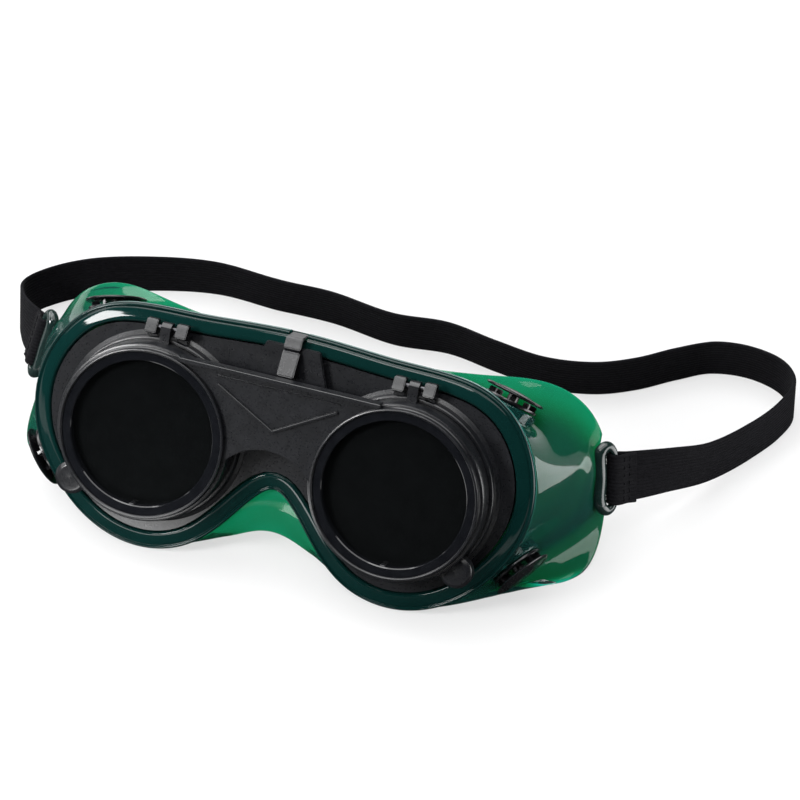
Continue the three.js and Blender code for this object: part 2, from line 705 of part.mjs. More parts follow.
// ---------- assembly ----------
addFacepiece();
addFrontFrame();
addLenses();
addFlipFrame();
addHingePins();
ventPlaces().forEach(addVent);
goggles.rotation.x = -LEAN;
addMesh("strap", closed(bandGeometry(strapFrames())), "webbing", assembly);

// The origin is the bottom centre of the whole object's box.
const group = new THREE.Group();
group.add(assembly);
group.updateMatrixWorld(true);
const box = new THREE.Box3().setFromObject(assembly, true);
const middle = box.getCenter(new THREE.Vector3());
assembly.position.set(-middle.x, -middle.y, -box.min.z);
group.updateMatrixWorld(true);

export default group;
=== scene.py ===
"""Looks of the flip-up welding goggles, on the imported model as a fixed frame.

Pieces are drawn in millimetres in the goggles' own frame (X to the side, Y from the front towards
the wearer, Z up, origin midway between the lens centres at the front of the flip frame), which
leans back on the table. The strap is drawn in the table's frame, which has the same origin.
"""

import math

import bmesh
import bpy
import numpy as np
from mathutils import Matrix, Vector, geometry


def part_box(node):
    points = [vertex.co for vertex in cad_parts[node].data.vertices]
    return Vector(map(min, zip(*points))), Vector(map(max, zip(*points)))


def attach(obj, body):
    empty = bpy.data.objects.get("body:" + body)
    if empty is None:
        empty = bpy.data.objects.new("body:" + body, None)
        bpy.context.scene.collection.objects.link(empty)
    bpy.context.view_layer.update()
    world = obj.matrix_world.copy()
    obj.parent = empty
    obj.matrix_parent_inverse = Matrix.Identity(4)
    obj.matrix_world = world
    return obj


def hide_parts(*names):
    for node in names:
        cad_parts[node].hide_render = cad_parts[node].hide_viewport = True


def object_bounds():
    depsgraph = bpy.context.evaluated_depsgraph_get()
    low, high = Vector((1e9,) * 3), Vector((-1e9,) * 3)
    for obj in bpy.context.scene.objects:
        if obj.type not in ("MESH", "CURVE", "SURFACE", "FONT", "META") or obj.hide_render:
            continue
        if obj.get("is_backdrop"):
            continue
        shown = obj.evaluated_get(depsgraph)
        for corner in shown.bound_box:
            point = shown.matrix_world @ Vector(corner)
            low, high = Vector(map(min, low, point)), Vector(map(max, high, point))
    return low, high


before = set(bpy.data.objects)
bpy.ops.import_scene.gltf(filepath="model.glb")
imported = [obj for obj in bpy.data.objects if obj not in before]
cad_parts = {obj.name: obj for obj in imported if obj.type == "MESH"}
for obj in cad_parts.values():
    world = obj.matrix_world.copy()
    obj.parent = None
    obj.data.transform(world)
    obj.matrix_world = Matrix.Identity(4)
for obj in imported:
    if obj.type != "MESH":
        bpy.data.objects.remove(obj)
cad_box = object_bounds()
scene = bpy.context.scene

# ---------- the two frames ----------
LEAN = math.radians(28)
TABLE_Z = -43.6  # the table below the origin
FILTER_MID = 5.4  # depth of the middle of the shade lenses


def box_centre(node):
    low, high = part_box(node)
    return (Vector(low) + Vector(high)) / 2


DEPTH = Vector((0, math.cos(LEAN), -math.sin(LEAN)))
lens_middle = (box_centre("filter_lens_left") + box_centre("filter_lens_right")) / 2
ORIGIN = lens_middle - DEPTH * FILTER_MID / 1000
TABLE = Matrix.Translation(ORIGIN) @ Matrix.Scale(0.001, 4)
GOGGLES = TABLE @ Matrix.Rotation(-LEAN, 4, "X")

# ---------- dimensions ----------
LENS_X = 42.5  # half the spacing of the lens centres
LENS_R, SIGHT_R, POCKET_R = 25, 23.8, 25.4  # the glass, the opening before it, the bore round it
FLAT_R = 26.7  # outer edge of the polished flat in front of a shade lens
FLIP_DEPTH = 9  # front to back of the flip rings
COLLAR_Y = 9.4  # front of the fixed sockets that the flip rings close against
PLATE_FRONT, PLATE_BACK = 13.2, 15.7
WALL_FRONT = 2.8  # thickness behind the rim, where the wall is long
WALL_EDGE, WALL_LOW = 0.9, 2.3  # at the rear edge, along the top and at the lower temples
LONG_WALL = 45  # from rim to rear edge; a shorter wall is thinner at the rim
RIM_Y = 16.5  # where the side wall starts behind the rim
BAND_FRONT, BAND_BACK, BAND_INNER = 16, 18, 9.5  # the band behind the plate, inside the rim
HINGE_X, HINGE_Y, HINGE_Z = 41.6, 9.4, 33.4
HINGE_SPREAD = 14  # across both lugs of a hinge
LUG_WIDTH, LUG_REACH = 3.8, 2.3
ARM_WIDTH, ARM_FRONT, ARM_R = 3.3, 2.4, 2
TAB_ANGLE, TAB_REACH = -43, 31  # where a finger tab sits round its lens
CATCH_WIDTH, CATCH_CLEAR = 5.6, 0.35
NOTCH_BOTTOM, NOTCH_BACK = 38.2, 17.8  # the notch in the rim that the catch reaches through
BORE_R = 1.1  # the hole for a hinge pin
STRAP_W, STRAP_T = 16.5, 1.2
LOOP_Z, LOOP_HALF, LOOP_TILT = 6.5, 10.2, -0.16
LOOP_FRONT = Vector((96, 50.7))
LOOP_REAR = Vector((99.4, 53.8))
LOOP_BAR = 1.15
STRAP_GAP_Y = 52.4  # the wall stops here where the strap passes
SIDES = (("left", -1), ("right", 1))

# Ribs of the right half, from top centre round the temple to the nose: the rim outline (x, z),
# a point halfway down the wall, and the rear edge.
RIBS = [
    ((0, 40.6), (0, 24, 37.2), (0, 30, 34)),
    ((17, 39.9), (18, 24.5, 37), (18, 32, 33)),
    ((33, 38.8), (35, 28, 34.5), (35, 39.5, 31.8)),
    ((48, 38.6), (50.5, 30.5, 31.5), (51, 46, 31.5)),
    ((61, 36.9), (64.5, 31.5, 26.9), (64, 50, 33.2)),
    ((71.5, 31.5), (75.5, 33, 24), (75.2, 55, 33.1)),
    ((79, 22.5), (84.8, 34.5, 20.5), (87.2, 56.5, 28.2)),
    ((83.3, 12), (91, 35.5, 12.5), (94.4, 57.5, 18.2)),
    ((84.4, 1), (92.6, 35, 1), (96.7, 59.5, 4.6)),
    ((82, -11), (86.4, 34, -10), (98.2, 57, -11.2)),
    ((75.5, -22.5), (78.2, 34, -20.8), (98.4, 48.5, -23.8)),
    ((65.5, -33), (75.4, 28, -34.3), (92.2, 38.5, -28.6)),
    ((54, -39.3), (62.5, 23.5, -38), (75.5, 34.5, -31)),
    ((42, -41.3), (45.5, 23, -38.4), (51, 33, -32)),
    ((31, -39.2), (31, 22.5, -37.8), (32, 29, -34.2)),
    ((22.5, -34.3), (21, 19.5, -37), (21, 24, -36.8)),
    ((14.5, -26), (13, 18.5, -29.2), (12.5, 21.5, -31.8)),
    ((7, -16.5), (6.5, 17.5, -22.6), (6, 20, -28)),
    ((0, -11), (0, 17.2, -18.6), (0, 19.3, -26.6)),
]
AROUND = 320  # steps round the facepiece
WALL_STATIONS = 34  # from the rim to the rear edge
INNER_START = 5  # the station where the inner skin starts, behind the band
CURB_STEPS = 44  # steps across the rim's rounded front
VENTS = {  # of the right half: a point on the wall and the direction out of it
    "upper": ((66.4, 31.2, 26.2), (0.24, 0.32, 0.92)),
    "lower": ((77.2, 26, -18.9), (0.78, -0.15, -0.6)),
}
BOSS_R, BOSS_SUNK, BOSS_HEIGHT = 9.4, 2, 2.6  # the raised seat of a vent


# ---------- mesh helpers ----------
def fillet(points, radius, steps=3):
    """A closed outline with its corners rounded."""
    rounded = []
    count = len(points)
    for i, corner in enumerate(points):
        here = Vector(corner)
        before = Vector(points[i - 1]) - here
        after = Vector(points[(i + 1) % count]) - here
        reach = min(radius, before.length * 0.45, after.length * 0.45)
        start = here + before.normalized() * reach
        end = here + after.normalized() * reach
        for k in range(steps + 1):
            t = k / steps
            point = start * (1 - t) ** 2 + here * 2 * t * (1 - t) + end * t * t
            rounded.append(tuple(point))
    return rounded


def arc(cx, cz, radius, start, end, steps=24):
    """Points of an arc, in degrees."""
    points = []
    for k in range(steps + 1):
        angle = math.radians(start + (end - start) * k / steps)
        points.append((cx + radius * math.cos(angle), cz + radius * math.sin(angle)))
    return points


def lathe(profile, segments=96, warp=None):
    """A closed profile of (radius, y) turned about the Y axis. A radius of 0 is on the axis."""
    verts, faces = [], []
    count = len(profile)
    for s in range(segments):
        angle = 2 * math.pi * s / segments
        for r, y in profile:
            if warp:
                r, y = warp(r, y, angle)
            verts.append((r * math.cos(angle), y, r * math.sin(angle)))
    for s in range(segments):
        a, b = s * count, (s + 1) % segments * count
        for i in range(count):
            j = (i + 1) % count
            if profile[i][0] < 1e-6 and profile[j][0] < 1e-6:
                continue
            faces.append((a + i, b + i, b + j, a + j))
    return verts, faces


def prism(outline, low, high, holes=(), axis="y"):
    """A flat outline with holes as a solid: front view along y, or side view (y, z) along x."""
    loops = [list(outline), *[list(hole) for hole in holes]]
    flat = [point for loop in loops for point in loop]
    caps = geometry.tessellate_polygon([[Vector((a, b, 0)) for a, b in loop] for loop in loops])
    count = len(flat)

    def place(a, b, depth):
        return (a, depth, b) if axis == "y" else (depth, a, b)

    verts = [place(a, b, low) for a, b in flat] + [place(a, b, high) for a, b in flat]
    faces = [tuple(cap) for cap in caps]
    faces += [tuple(i + count for i in reversed(cap)) for cap in caps]
    start = 0
    for loop in loops:
        size = len(loop)
        for i in range(size):
            a, b = start + i, start + (i + 1) % size
            faces.append((a, b, b + count, a + count))
        start += size
    return verts, faces


def tube(path, radii, segments=18, closed=True):
    """A round tube along points, with a radius at each."""
    verts, faces = [], []
    count = len(path)
    side = Vector((0, 0, 1))
    for i, point in enumerate(path):
        before = path[i - 1] if closed or i else point
        after = path[(i + 1) % count] if closed or i + 1 < count else point
        along = (after - before).normalized()
        side = (side - along * side.dot(along)).normalized()
        other = along.cross(side)
        for s in range(segments):
            angle = 2 * math.pi * s / segments
            verts.append(point + (side * math.cos(angle) + other * math.sin(angle)) * radii[i])
    for i in range(count if closed else count - 1):
        a, b = i * segments, (i + 1) % count * segments
        for s in range(segments):
            t = (s + 1) % segments
            faces.append((a + s, a + t, b + t, b + s))
    if not closed:
        faces.append(tuple(range(segments)))
        last = (count - 1) * segments
        faces.append(tuple(last + s for s in reversed(range(segments))))
    return verts, faces


def along_axis(point, direction):
    """The matrix that takes the Y axis to a direction through a point."""
    turn = Vector((0, 1, 0)).rotation_difference(Vector(direction).normalized())
    return Matrix.Translation(Vector(point)) @ turn.to_matrix().to_4x4()


class Shape:
    """A mesh of one or more closed solids, in millimetres until it becomes an object."""

    def __init__(self):
        self.bm = bmesh.new()

    def add(self, solid, bevel=0.0, steps=2, matrix=None):
        verts, faces = solid
        part = bmesh.new()
        made = [part.verts.new(v) for v in verts]
        for face in faces:
            part.faces.new([made[i] for i in face])
        bmesh.ops.remove_doubles(part, verts=part.verts, dist=1e-4)
        bmesh.ops.recalc_face_normals(part, faces=part.faces)
        if bevel:
            edges = [e for e in part.edges if e.is_manifold and e.calc_face_angle() > 0.5]
            bmesh.ops.bevel(
                part, geom=edges, offset=bevel, segments=steps, affect="EDGES", clamp_overlap=True
            )
        if matrix:
            bmesh.ops.transform(part, matrix=matrix, verts=part.verts)
        copy = bpy.data.meshes.new("copy")
        part.to_mesh(copy)
        self.bm.from_mesh(copy)
        bpy.data.meshes.remove(copy)
        part.free()
        return self

    def object(self, name, space=GOGGLES, sharp=32):
        mesh = bpy.data.meshes.new(name)
        bmesh.ops.transform(self.bm, matrix=space, verts=self.bm.verts)
        self.bm.to_mesh(mesh)
        self.bm.free()
        obj = bpy.data.objects.new(name, mesh)
        scene.collection.objects.link(obj)
        smooth(obj, sharp)
        return obj


def smooth(obj, degrees=32):
    """Smooth shading, with edges sharper than an angle kept crisp."""
    mesh = obj.data
    bm = bmesh.new()
    bm.from_mesh(mesh)
    for face in bm.faces:
        face.smooth = True
    limit = math.radians(degrees)
    for edge in bm.edges:
        edge.smooth = not edge.is_manifold or edge.calc_face_angle() < limit
    bm.to_mesh(mesh)
    bm.free()


def finish_piece(obj, material, slot, body, *nodes):
    obj.data.materials.clear()
    obj.data.materials.append(material)
    if nodes:
        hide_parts(*nodes)
    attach(obj, body)
    return obj


def combine(obj, other, operation):
    """Joins or cuts a mesh with another solid, and removes the other."""
    modifier = obj.modifiers.new("join", "BOOLEAN")
    modifier.operation = operation
    modifier.solver = "EXACT"
    modifier.object = other
    graph = bpy.context.evaluated_depsgraph_get()
    mesh = bpy.data.meshes.new_from_object(obj.evaluated_get(graph))
    obj.modifiers.clear()
    old = obj.data
    obj.data = mesh
    bpy.data.meshes.remove(old)
    bpy.data.objects.remove(other)


# ---------- materials ----------
GRAIN_DEPTH = 0.0002  # metres


def new_material(name):
    material = bpy.data.materials.new(name)
    material.use_nodes = True
    tree = material.node_tree
    shader = tree.nodes["Principled BSDF"]
    return material, tree, shader


def noise(tree, scale, detail=3.0):
    """Noise on the object's own coordinates, in metres."""
    place = tree.nodes.new("ShaderNodeTexCoord")
    texture = tree.nodes.new("ShaderNodeTexNoise")
    texture.inputs["Scale"].default_value = scale
    texture.inputs["Detail"].default_value = detail
    tree.links.new(place.outputs["Object"], texture.inputs["Vector"])
    return texture.outputs["Fac"]


def spread(tree, value, low, high):
    """A noise value mapped from its usual range to low..high."""
    node = tree.nodes.new("ShaderNodeMapRange")
    node.inputs["From Min"].default_value = 0.3
    node.inputs["From Max"].default_value = 0.7
    node.inputs["To Min"].default_value = low
    node.inputs["To Max"].default_value = high
    tree.links.new(value, node.inputs["Value"])
    return node.outputs["Result"]


def blend_colours(tree, value, first, second):
    node = tree.nodes.new("ShaderNodeMix")
    node.data_type = "RGBA"
    node.inputs["A"].default_value = (*first, 1)
    node.inputs["B"].default_value = (*second, 1)
    tree.links.new(value, node.inputs["Factor"])
    return node.outputs["Result"]


def bump(tree, shader, height, strength, distance):
    node = tree.nodes.new("ShaderNodeBump")
    node.inputs["Strength"].default_value = strength
    node.inputs["Distance"].default_value = distance
    tree.links.new(height, node.inputs["Height"])
    tree.links.new(node.outputs["Normal"], shader.inputs["Normal"])


def grained(name, colours, roughness, grain, strength, scale=260):
    """An opaque moulded material: mottled colour, uneven gloss and a fine grain."""
    material, tree, shader = new_material(name)
    wide = spread(tree, noise(tree, scale), 0, 1)
    fine = noise(tree, grain, 2)
    tree.links.new(blend_colours(tree, wide, *colours), shader.inputs["Base Color"])
    tree.links.new(spread(tree, fine, *roughness), shader.inputs["Roughness"])
    bump(tree, shader, fine, strength, GRAIN_DEPTH)
    return material, shader


def behind_the_rim(tree):
    """0 on the thick front rim, rising to 1 where the wall starts; it fades out the rim's painted shade."""
    place = tree.nodes.new("ShaderNodeTexCoord")
    depth = tree.nodes.new("ShaderNodeVectorMath")
    depth.operation = "DOT_PRODUCT"
    depth.inputs[1].default_value = DEPTH
    fade = tree.nodes.new("ShaderNodeMapRange")
    start = ORIGIN.dot(DEPTH)
    fade.inputs["From Min"].default_value = start + (RIM_Y - 1.4) / 1000
    fade.inputs["From Max"].default_value = start + (RIM_Y + 0.1) / 1000
    tree.links.new(place.outputs["Object"], depth.inputs[0])
    tree.links.new(depth.outputs["Value"], fade.inputs["Value"])
    return fade.outputs["Result"]


def make_pvc():
    """Green soft PVC: light is tinted by the depth of plastic that it crosses, and a little of it
    scatters at the skin. The thick rim in front of the frame is painted a dark teal that lets little
    light through: partly the depth of plastic, partly painted shade of the black frame behind it."""
    material, tree, shader = new_material("green_pvc")
    shader.inputs["IOR"].default_value = 1.32
    flow = noise(tree, 60, 2)
    mottle = spread(tree, flow, 0, 1)
    behind = behind_the_rim(tree)
    clear = blend_colours(tree, mottle, (0.12, 0.78, 0.68), (0.1, 0.7, 0.6))
    # the rim's dark teal: partly the depth of plastic, partly painted shade of the black frame behind the
    # rim
    thick = blend_colours(tree, mottle, (0.0024, 0.018, 0.0165), (0.0018, 0.0145, 0.0132))
    colour = tree.nodes.new("ShaderNodeMix")
    colour.data_type = "RGBA"
    tree.links.new(behind, colour.inputs["Factor"])
    tree.links.new(thick, colour.inputs["A"])
    tree.links.new(clear, colour.inputs["B"])
    tree.links.new(colour.outputs["Result"], shader.inputs["Base Color"])
    # the rim lets little light through, as part of the same painted shade
    amount = tree.nodes.new("ShaderNodeMapRange")
    amount.inputs["To Min"].default_value = 0.1
    amount.inputs["To Max"].default_value = 0.96
    tree.links.new(behind, amount.inputs["Value"])
    tree.links.new(amount.outputs["Result"], shader.inputs["Transmission Weight"])
    tree.links.new(spread(tree, noise(tree, 120), 0.05, 0.08), shader.inputs["Roughness"])
    bump(tree, shader, flow, 0.05, 0.0003)
    absorb = tree.nodes.new("ShaderNodeVolumeAbsorption")
    absorb.inputs["Color"].default_value = (0.0, 0.9, 0.82, 1)
    absorb.inputs["Density"].default_value = 10000
    tree.links.new(absorb.outputs["Volume"], tree.nodes["Material Output"].inputs["Volume"])
    return material


def make_glass(name, tint, uneven, transmission, roughness):
    material, tree, shader = new_material(name)
    shader.inputs["Transmission Weight"].default_value = transmission
    shader.inputs["IOR"].default_value = 1.5
    haze = spread(tree, noise(tree, 180), 0, 1)
    darker = tuple(c * (1 - uneven) for c in tint)
    tree.links.new(blend_colours(tree, haze, tint, darker), shader.inputs["Base Color"])
    tree.links.new(spread(tree, noise(tree, 900), *roughness), shader.inputs["Roughness"])
    return material


def make_webbing():
    """Ribbed elastic: matte yarn with a fine weave across the ribs."""
    colours = ((0.002, 0.002, 0.0028), (0.004, 0.004, 0.0052))
    material, shader = grained("webbing", colours, (0.75, 0.95), 2600, 0.5, 700)
    shader.inputs["Sheen Weight"].default_value = 0.02
    shader.inputs["Sheen Roughness"].default_value = 0.4
    shader.inputs["Specular IOR Level"].default_value = 0.08
    return material


PVC = make_pvc()
LOOP_PVC, _ = grained("loop_pvc", ((0.005, 0.013, 0.012), (0.009, 0.02, 0.018)), (0.12, 0.2), 300, 0.04)
nylon_tones = ((0.004, 0.0044, 0.0056), (0.0075, 0.008, 0.0098))
polished_tones = ((0.004, 0.0044, 0.0056), (0.006, 0.0065, 0.008))
vent_tones = ((0.004, 0.004, 0.005), (0.007, 0.007, 0.0085))
NYLON, _ = grained("black_nylon", nylon_tones, (0.26, 0.36), 1900, 0.04)
POLISHED, _ = grained("polished_nylon", polished_tones, (0.06, 0.1), 1900, 0.01)
VENT_BLACK, _ = grained("vent_black", vent_tones, (0.18, 0.28), 1500, 0.12)
SHADE = make_glass("shade_glass", (0.0032, 0.0036, 0.0038), 0.2, 0, (0.05, 0.09))
CLEAR = make_glass("clear_glass", (0.95, 0.99, 0.97), 0.02, 1, (0.01, 0.014))
RUBBER, _ = grained("gasket_rubber", ((0.012, 0.012, 0.012), (0.02, 0.02, 0.02)), (0.7, 0.85), 1400, 0.4)
STEEL, steel_shader = grained("pin_steel", ((0.05, 0.05, 0.055), (0.08, 0.08, 0.085)), (0.3, 0.4), 2200, 0.1)
steel_shader.inputs["Metallic"].default_value = 1
WEBBING = make_webbing()


# ---------- the facepiece ----------
def centripetal(points, t, closed=True):
    """A point of a centripetal Catmull-Rom curve."""
    count = len(points)
    place = (count if closed else count - 1) * t
    first = int(math.floor(place))
    part = place - first
    if not closed and first >= count - 1:
        first, part = count - 2, 1.0

    def at(i):
        if closed:
            return points[i % count]
        if i < 0:
            return 2 * points[0] - points[1]
        if i >= count:
            return 2 * points[-1] - points[-2]
        return points[i]

    p0, p1, p2, p3 = (at(first + k) for k in (-1, 0, 1, 2))
    d0, d1, d2 = (np.sum((b - a) ** 2) ** 0.25 for a, b in ((p0, p1), (p1, p2), (p2, p3)))
    d1 = d1 if d1 > 1e-4 else 1.0
    d0 = d0 if d0 > 1e-4 else d1
    d2 = d2 if d2 > 1e-4 else d1
    t1 = ((p1 - p0) / d0 - (p2 - p0) / (d0 + d1) + (p2 - p1) / d1) * d1
    t2 = ((p2 - p1) / d1 - (p3 - p1) / (d1 + d2) + (p3 - p2) / d2) * d1
    c2 = -3 * p1 + 3 * p2 - 2 * t1 - t2
    c3 = 2 * p1 - 2 * p2 + t1 + t2
    return p1 + t1 * part + c2 * part**2 + c3 * part**3


def round_the_face(pick):
    """One point of every rib as a dense closed curve, mirrored to the left half."""
    right = [np.array(pick(rib), float) for rib in RIBS]
    left = [p * (-1, 1, 1) for p in right[-2:0:-1]]
    return np.array([centripetal(right + left, i / AROUND) for i in range(AROUND)])


def softened(curve, width):
    """A closed curve evened out along its length, so that gloss runs over it without ripples."""
    steps = np.arange(-3 * width, 3 * width + 1)
    weights = np.exp(-0.5 * (steps / width) ** 2)
    weights /= weights.sum()
    return sum(w * np.roll(curve, -s, axis=0) for s, w in zip(steps, weights))


rim_curve = softened(round_the_face(lambda rib: (rib[0][0], RIM_Y, rib[0][1])), 3)
mid_curve = softened(round_the_face(lambda rib: rib[1]), 6)
edge_curve = softened(round_the_face(lambda rib: rib[2]), 6)
tangent = np.roll(rim_curve, -1, axis=0) - np.roll(rim_curve, 1, axis=0)
tangent /= np.linalg.norm(tangent[:, [0, 2]], axis=1)[:, None]
rim_out = np.stack([-tangent[:, 2], np.zeros(AROUND), tangent[:, 0]], axis=1)


def rim_station(offset, y):
    curve = rim_curve + rim_out * offset
    curve[:, 1] = y
    return curve


def ramp(x, low, high):
    t = np.clip((x - low) / (high - low), 0, 1)
    return t * t * (3 - 2 * t)


def wall_at(w):
    """The wall's outer skin at w from the rim (0) to the rear edge (1); w may vary round it."""
    w = np.broadcast_to(w, AROUND)[:, None]
    pull = 2 * mid_curve - 0.5 * rim_curve - 0.5 * edge_curve
    return rim_curve * (1 - w) ** 2 + pull * 2 * w * (1 - w) + edge_curve * w**2


def notch_reach():
    """How far the wall runs back: short of the rear edge where the strap passes."""
    samples = np.linspace(0.5, 1, 60)
    depths = np.array([wall_at(w)[:, 1] for w in samples])
    short = np.array([np.interp(STRAP_GAP_Y, depths[:, i], samples) for i in range(AROUND)])
    z = edge_curve[:, 2]
    low, high = LOOP_Z - LOOP_HALF, LOOP_Z + LOOP_HALF
    inside = ramp(z, low - 2.5, low + 1) * (1 - ramp(z, high - 1, high + 2.5))
    inside *= np.abs(edge_curve[:, 0]) > 60
    return 1 - inside * (1 - short)


REACH = notch_reach()


def swell(points):
    """Height of the soft ridges on the wall, above the plain skin."""
    mirrored = points.copy()
    mirrored[:, 0] = np.abs(points[:, 0])
    height = np.zeros(len(points))
    for start, end, size, width in (
        ((84, 34, -17), (96, 50, -3), 1.5, 3.4),
        ((96, 44, -6), (95, 47, 16), 0.9, 3.6),
    ):
        a, b = np.array(start, float), np.array(end, float)
        run = b - a
        t = np.clip((mirrored - a) @ run / (run @ run), 0, 1)
        away = np.linalg.norm(mirrored - (a + t[:, None] * run), axis=1)
        height += size * np.exp(-((away / width) ** 2))
    return height


def skin_normal(w):
    low, high = np.clip(w - 0.02, 0, 1), np.clip(w + 0.02, 0, 1)
    here = wall_at(w)
    along = np.roll(here, -1, axis=0) - np.roll(here, 1, axis=0)
    down = wall_at(high) - wall_at(low)
    normal = np.cross(along, down)
    return normal / np.linalg.norm(normal, axis=1)[:, None]


def facepiece_stations():
    curb = [
        (-6.2, BAND_FRONT), (-6, 15), (-5.9, 14), (-5.7, 13.2), (-5.2, 12.75), (-4.4, 12.8),
        (-3.3, 13.12), (-2.2, 13.48), (-1.5, 13.8), (-1.15, 14.1), (-0.95, 14), (-0.65, 13.75),
        (-0.3, 13.8), (0, 14.2), (0.12, 14.8), (0.1, 15.6),
    ]
    curb = [np.array(spot, float) for spot in curb]
    spots = [centripetal(curb, k / CURB_STEPS, False) for k in range(CURB_STEPS + 1)]
    front = [rim_station(-BAND_INNER, BAND_FRONT), *[rim_station(*spot) for spot in spots]]
    length = np.linalg.norm(edge_curve - rim_curve, axis=1)
    below = 1 - ramp(edge_curve[:, 2], -2, 22)
    temple = ramp(np.abs(edge_curve[:, 0]), 30, 60)
    edge_thickness = WALL_EDGE + (WALL_LOW - WALL_EDGE) * below * temple
    thicker = (WALL_FRONT - WALL_EDGE) * np.minimum(length / LONG_WALL, 1) ** 2
    thicker = np.maximum(WALL_EDGE + thicker, edge_thickness) - edge_thickness
    steps = np.linspace(0, 1, WALL_STATIONS)
    outer, inner = [], []
    for w in steps:
        reach = w * REACH
        normal = skin_normal(reach)
        skin = wall_at(reach)
        outer.append(skin + normal * (swell(skin) * ramp(w, 0, 0.25))[:, None])
        thickness = edge_thickness + thicker * (1 - ramp(w, 0.6, 1))
        inner.append(skin - normal * thickness[:, None])
    normal = skin_normal(REACH)
    onward = outer[-1] - outer[-2]
    onward /= np.linalg.norm(onward, axis=1)[:, None]
    lip = []
    half = edge_thickness[:, None] / 2
    for angle in (30, 60, 90, 120, 150):
        turn = math.radians(angle)
        lip.append(outer[-1] - normal * half * (1 - math.cos(turn)) + onward * half * math.sin(turn))
    back = [rim_station(-2.4, BAND_BACK), rim_station(-BAND_INNER, BAND_BACK)]
    return [*front, *outer, *lip, *reversed(inner[INNER_START:]), *back]


def pressed(points, lowest):
    """Points below the table are moved up onto it, along the table's normal."""
    normal = np.array([0, -math.sin(LEAN), math.cos(LEAN)])
    lift = np.maximum(TABLE_Z + lowest - points @ normal, 0)
    return points + lift[:, None] * normal


def facepiece_shell():
    stations = facepiece_stations()
    stations = [pressed(s, 0.05) for s in stations]
    count = len(stations)
    verts = [tuple(p) for s in stations for p in s]
    faces = []
    for s in range(count):
        n = (s + 1) % count
        for i in range(AROUND):
            j = (i + 1) % AROUND
            a, b = s * AROUND, n * AROUND
            faces.append((a + i, a + j, b + j, b + i))
    return verts, faces


def strap_loop(side):
    """The loop for the strap: a bar on the wall, horns above and below, and a rear bar."""
    top, bottom = LOOP_Z + LOOP_HALF, LOOP_Z - LOOP_HALF

    def spot(bar, z):
        return np.array((side * (bar.x + LOOP_TILT * (z - LOOP_Z)), bar.y, z), float)

    half = (LOOP_FRONT + LOOP_REAR) / 2
    knots = [
        spot(LOOP_FRONT, bottom + 1.6), spot(LOOP_FRONT, LOOP_Z), spot(LOOP_FRONT, top - 1.6),
        spot(half, top + 0.2), spot(LOOP_REAR, top - 1.6), spot(LOOP_REAR, LOOP_Z),
        spot(LOOP_REAR, bottom + 1.6), spot(half, bottom - 0.2),
    ]
    thick = [2.1, 2, 2.1, 1.7, 1.3, 1.15, 1.3, 1.7, 2.1]
    path, radii = [], []
    count = 72
    for i in range(count):
        t = i / count
        path.append(Vector(centripetal(knots, t)))
        radii.append(float(np.interp(t * 8, range(9), thick)))
    return tube(path, radii, 16)


def vent_places():
    for level, (at, axis) in VENTS.items():
        for side, sign in SIDES:
            mirror = Vector((sign, 1, 1))
            yield f"{level}_{side}", along_axis(Vector(at) * mirror, Vector(axis) * mirror)


def make_facepiece():
    shell = Shape().add(facepiece_shell()).object("facepiece_pvc")
    extras = Shape()
    boss = fillet([(0, -BOSS_SUNK), (BOSS_R, -BOSS_SUNK), (BOSS_R, BOSS_HEIGHT), (0, BOSS_HEIGHT)], 0.7)
    boss = [(max(r, 0), y) for r, y in boss]
    for _, place in vent_places():
        extras.add(lathe(boss, 56), matrix=place)
    combine(shell, extras.object("extras"), "UNION")
    half, above = CATCH_WIDTH / 2 + CATCH_CLEAR, NOTCH_BOTTOM + 7.8
    notch = [(-half, NOTCH_BOTTOM), (half, NOTCH_BOTTOM), (half, above), (-half, above)]
    cutter = Shape().add(prism(notch, 10, NOTCH_BACK))
    combine(shell, cutter.object("notch"), "DIFFERENCE")
    smooth(shell, 38)
    return finish_piece(shell, PVC, "soft_pvc", "facepiece_body", "facepiece")


def make_strap_loops():
    shape = Shape()
    for _, sign in SIDES:
        shape.add(strap_loop(sign))
    return finish_piece(shape.object("strap_loops"), LOOP_PVC, "soft_pvc", "facepiece_body")


# ---------- the black frames ----------
def circle(cx, cz, radius, steps=72):
    return arc(cx, cz, radius, 0, 360, steps)[:-1]


def ring_at(shape, side, profile, segments=160, warp=None):
    shape.add(lathe(profile, segments, warp), matrix=Matrix.Translation((side * LENS_X, 0, 0)))


def hinge_lug(shape, centre):
    front, back, top = HINGE_Y - LUG_REACH, HINGE_Y + LUG_REACH, HINGE_Z + LUG_REACH
    outline = [
        (13.4, 28.6), (10.4, 28.6), (10.4, 30.6), (front + 0.3, 31.2), (front - 0.4, 31.8),
        (front + 1.3, top - 0.4), (front + 1.7, top), (back - 0.9, top), (back, top - 0.9),
        (back, 32.1), (13.4, 32.1),
    ]
    bore = circle(HINGE_Y, HINGE_Z, BORE_R, 20)
    half = LUG_WIDTH / 2
    shape.add(prism(outline, centre - half, centre + half, [bore], "x"), 0.28, 2)


